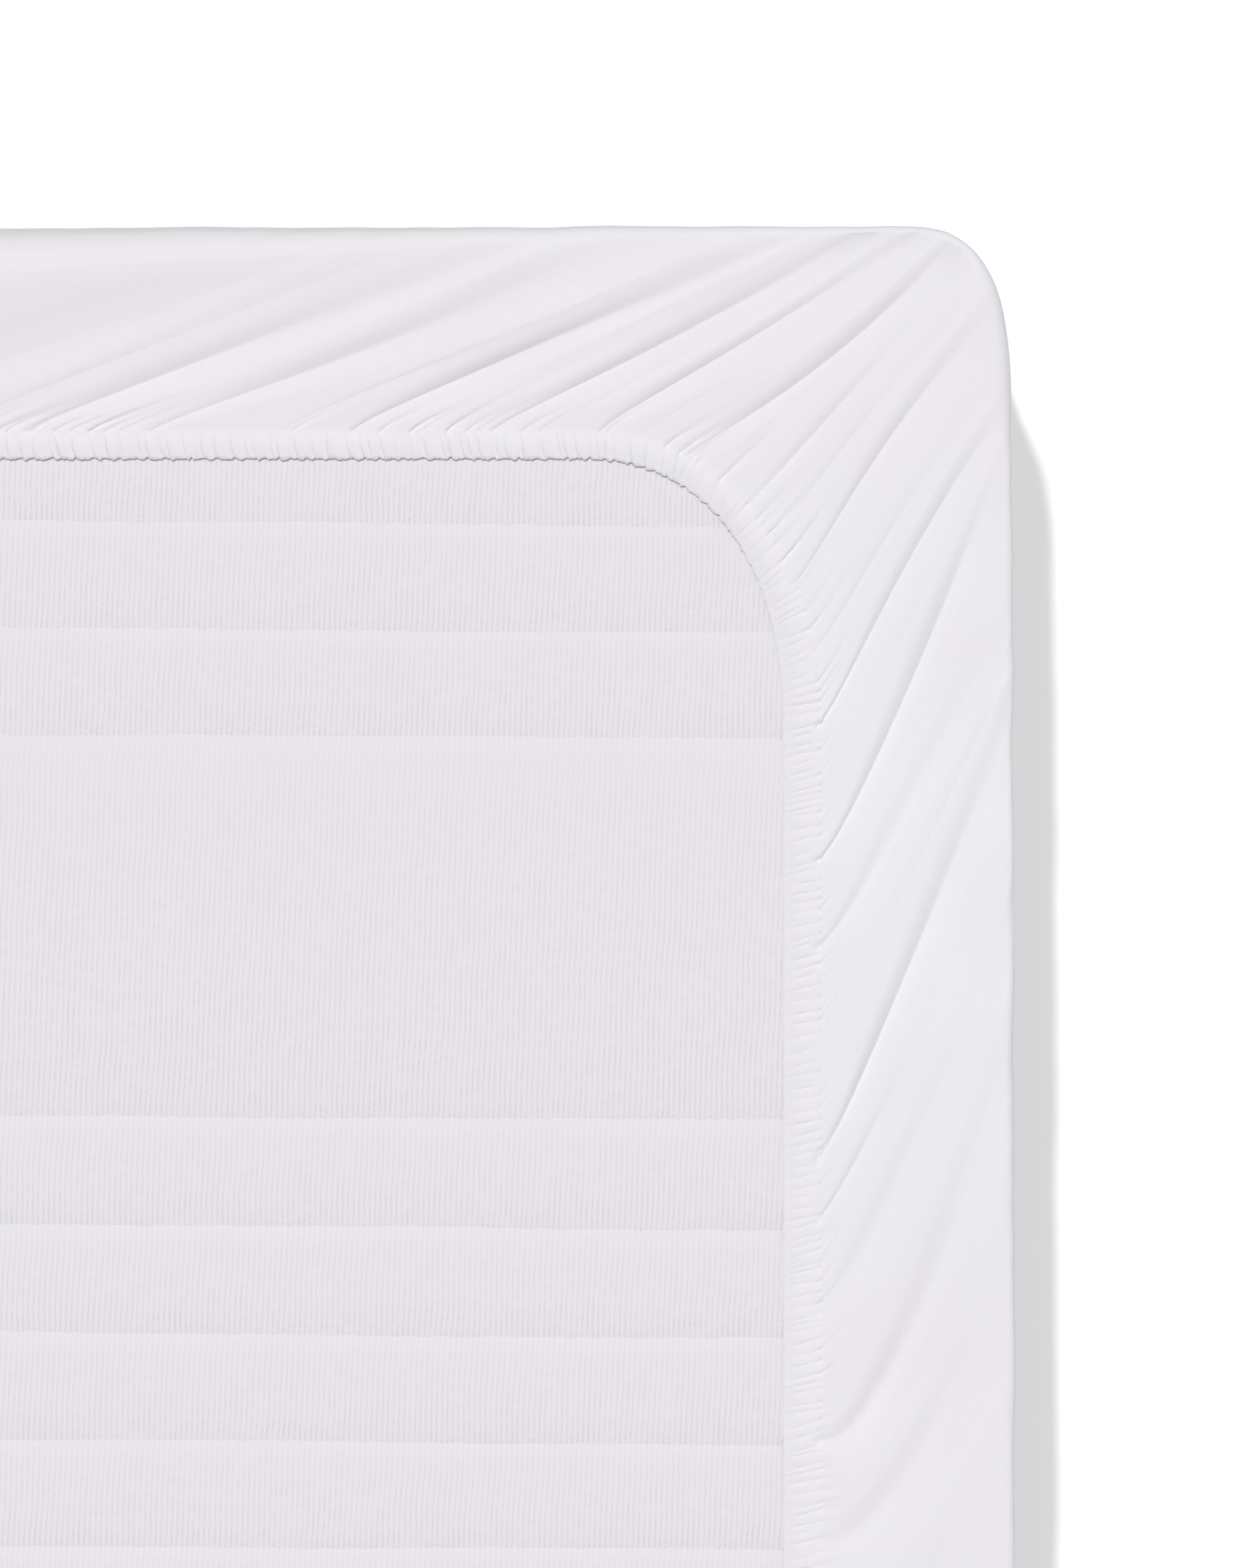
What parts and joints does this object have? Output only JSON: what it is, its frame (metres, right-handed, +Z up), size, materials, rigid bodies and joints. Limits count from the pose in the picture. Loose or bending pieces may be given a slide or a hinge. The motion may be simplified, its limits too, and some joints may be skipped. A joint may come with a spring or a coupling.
{
  "type": "fitted sheet on mattress",
  "caption": "Fitted sheet pulled over a single mattress, shown from its open side: return flap with tension folds and a gathered elastic edge.",
  "frame": {"origin": "on the surface that the sheet rests on, under the middle of the mattress", "axes": "+Z up, out of the sheet's open side; +Y along the mattress; +X across it"},
  "size_m": [0.9036, 2.0036, 0.2097],
  "materials": {
    "sheet_cotton": "plain white cotton, matt",
    "gathered_edge": "white cotton gathered on elastic, matt",
    "mattress_ticking": "off-white ribbed knit, matt"
  },
  "bodies": {
    "root": {"sheet": "sheet_cotton", "elastic_edge": "gathered_edge", "mattress": "mattress_ticking"}
  },
  "joints": []
}
